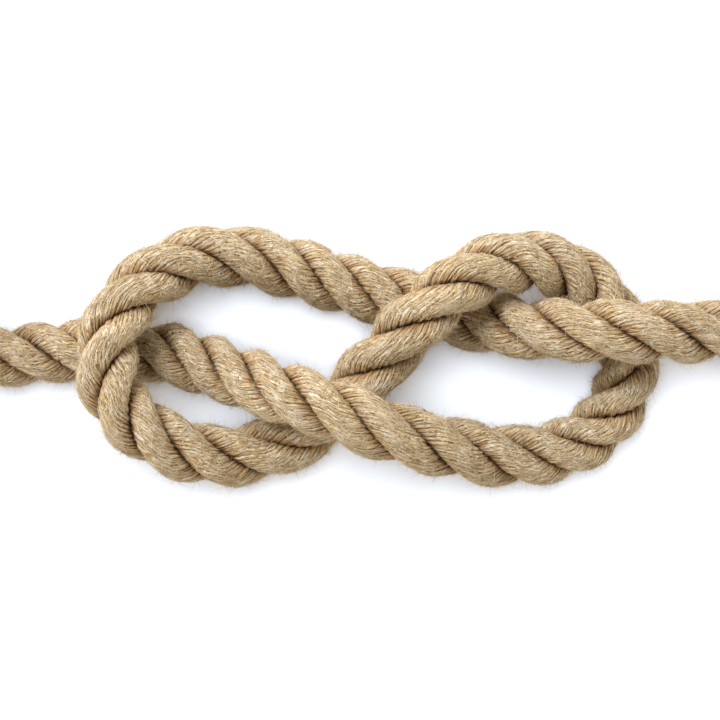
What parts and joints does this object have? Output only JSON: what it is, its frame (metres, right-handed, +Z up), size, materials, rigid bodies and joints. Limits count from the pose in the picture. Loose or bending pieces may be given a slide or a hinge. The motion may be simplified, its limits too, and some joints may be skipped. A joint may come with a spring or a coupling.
{
  "type": "dock line",
  "caption": "Three-strand natural-fibre dock line with a figure-eight knot, a whipped end, a spliced eye and its spare length folded into a tied hank.",
  "frame": {"origin": "on the floor under the middle of the whole line's box", "axes": "+X along the line from the hank to the whipped end, +Z up from the floor, +Y to the hank's far side"},
  "size_m": [0.8062, 0.2238, 0.0789],
  "materials": {
    "rope": "matte hairy laid hemp",
    "tie_twine": "matte tarred twine",
    "whipping_twine": "waxed twine, slight sheen"
  },
  "bodies": {
    "hank": {"hank": "rope", "waist_tie": "tie_twine", "tie_knot": "tie_twine", "lead_bend": "rope", "eye_splice": "rope", "eye_throat": "rope"},
    "knot": {"standing_part": "rope", "right_bight": "rope", "crossing_turn": "rope", "left_bight": "rope", "working_part": "rope", "tail_bend": "rope"},
    "tail": {"tail": "rope", "end_whipping": "whipping_twine"},
    "eye": {"eye_loop": "rope"}
  },
  "joints": [
    {"name": "knot_swing", "type": "hinge", "parent": "hank", "child": "knot", "pos_m": [-0.0244, -0.0797, 0.0096], "axis": [0, 0, 1], "range_deg": [-20, 20], "deforming": ["lead_bend"]},
    {"name": "tail_swing", "type": "hinge", "parent": "knot", "child": "tail", "pos_m": [0.3281, -0.0508, 0.022], "axis": [0, 0, 1], "range_deg": [-30, 30], "deforming": ["tail_bend"]},
    {"name": "eye_lift", "type": "hinge", "parent": "hank", "child": "eye", "pos_m": [-0.1439, 0.0045, 0.0592], "axis": [0, -1, 0], "range_deg": [0, 60], "deforming": ["eye_throat"]}
  ]
}
